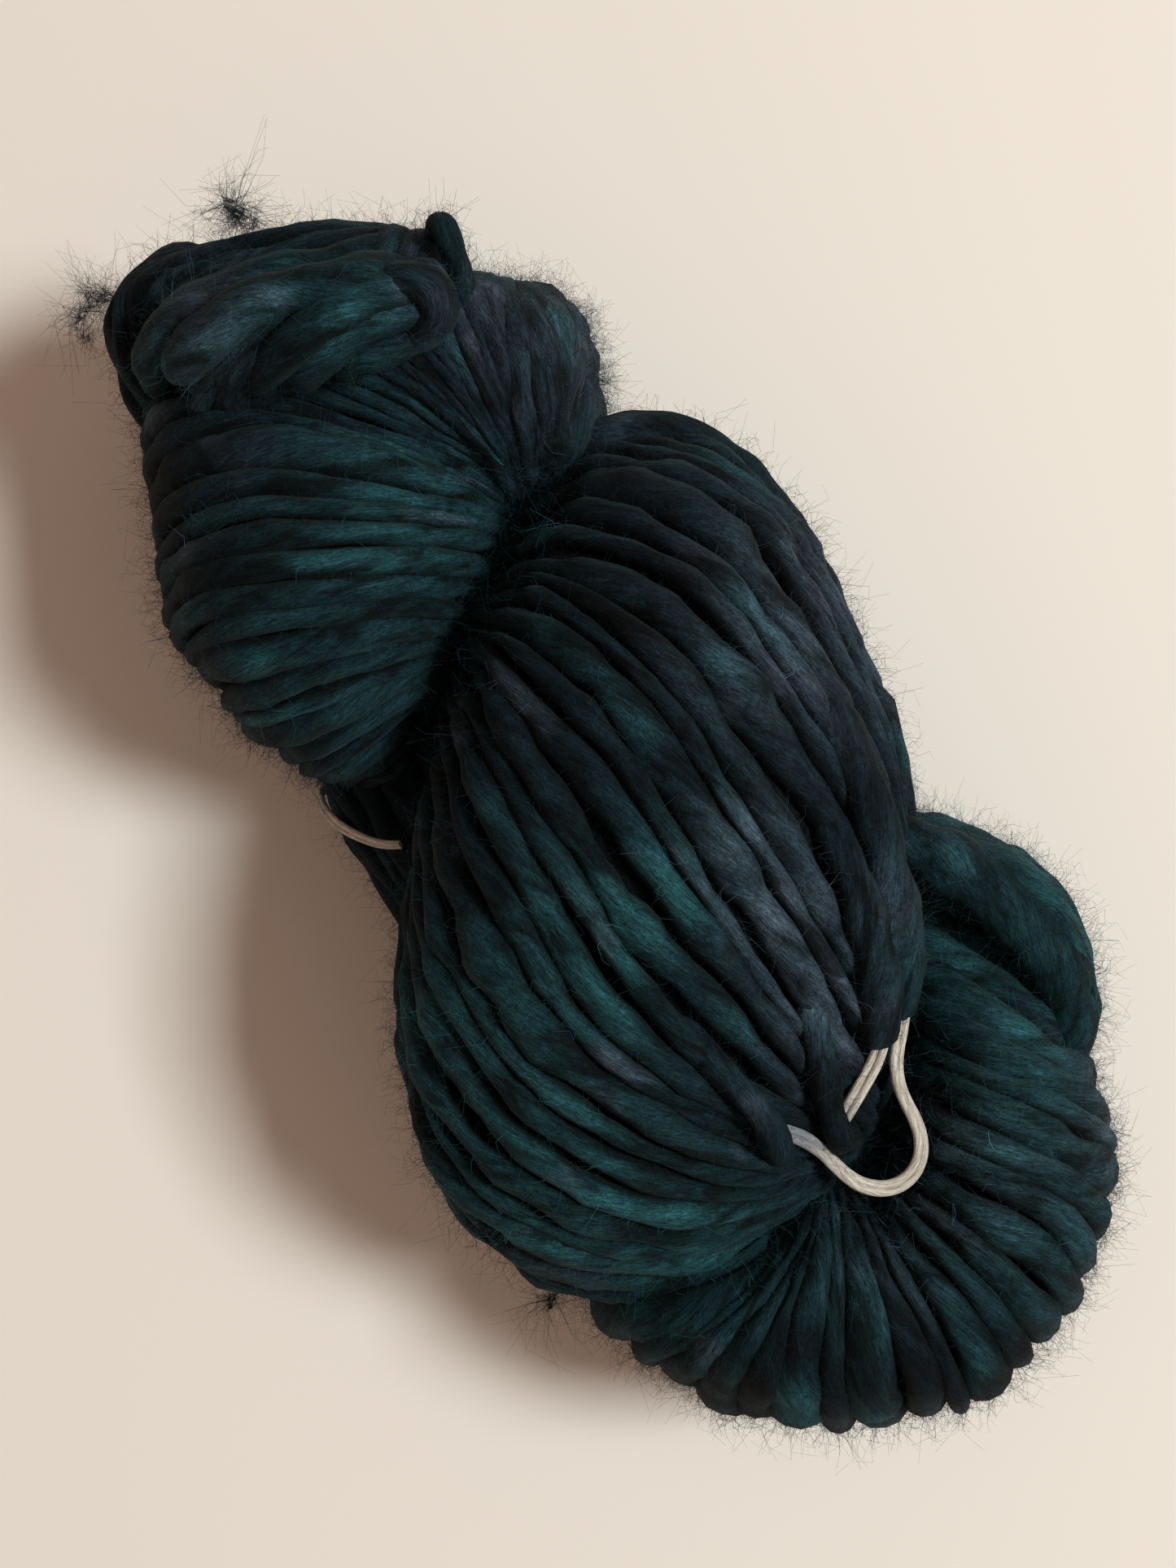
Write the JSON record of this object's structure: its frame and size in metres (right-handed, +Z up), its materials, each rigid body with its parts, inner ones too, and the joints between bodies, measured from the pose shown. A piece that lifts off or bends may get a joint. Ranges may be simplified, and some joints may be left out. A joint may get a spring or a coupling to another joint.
{
  "type": "hank of yarn",
  "caption": "Hank of thick single-ply wool yarn, twisted on itself with its end tucked through, and held by white cotton ties.",
  "frame": {"origin": "middle of the hank's bounding box in plan, at the height of the surface it lies on", "axes": "+X along the hank from its tucked end to its plain end, +Z up"},
  "size_m": [0.2928, 0.1454, 0.0973],
  "materials": {
    "yarn": "soft felted single-ply wool, dark bottle green with slate and near-black lengths, with a fuzzy halo",
    "tie_cotton": "matte off-white cotton string, two strands side by side"
  },
  "bodies": {
    "root": {"hank": "yarn", "tie_lower": "tie_cotton", "tie_lower_under": "tie_cotton", "tie_upper": "tie_cotton"}
  },
  "joints": []
}
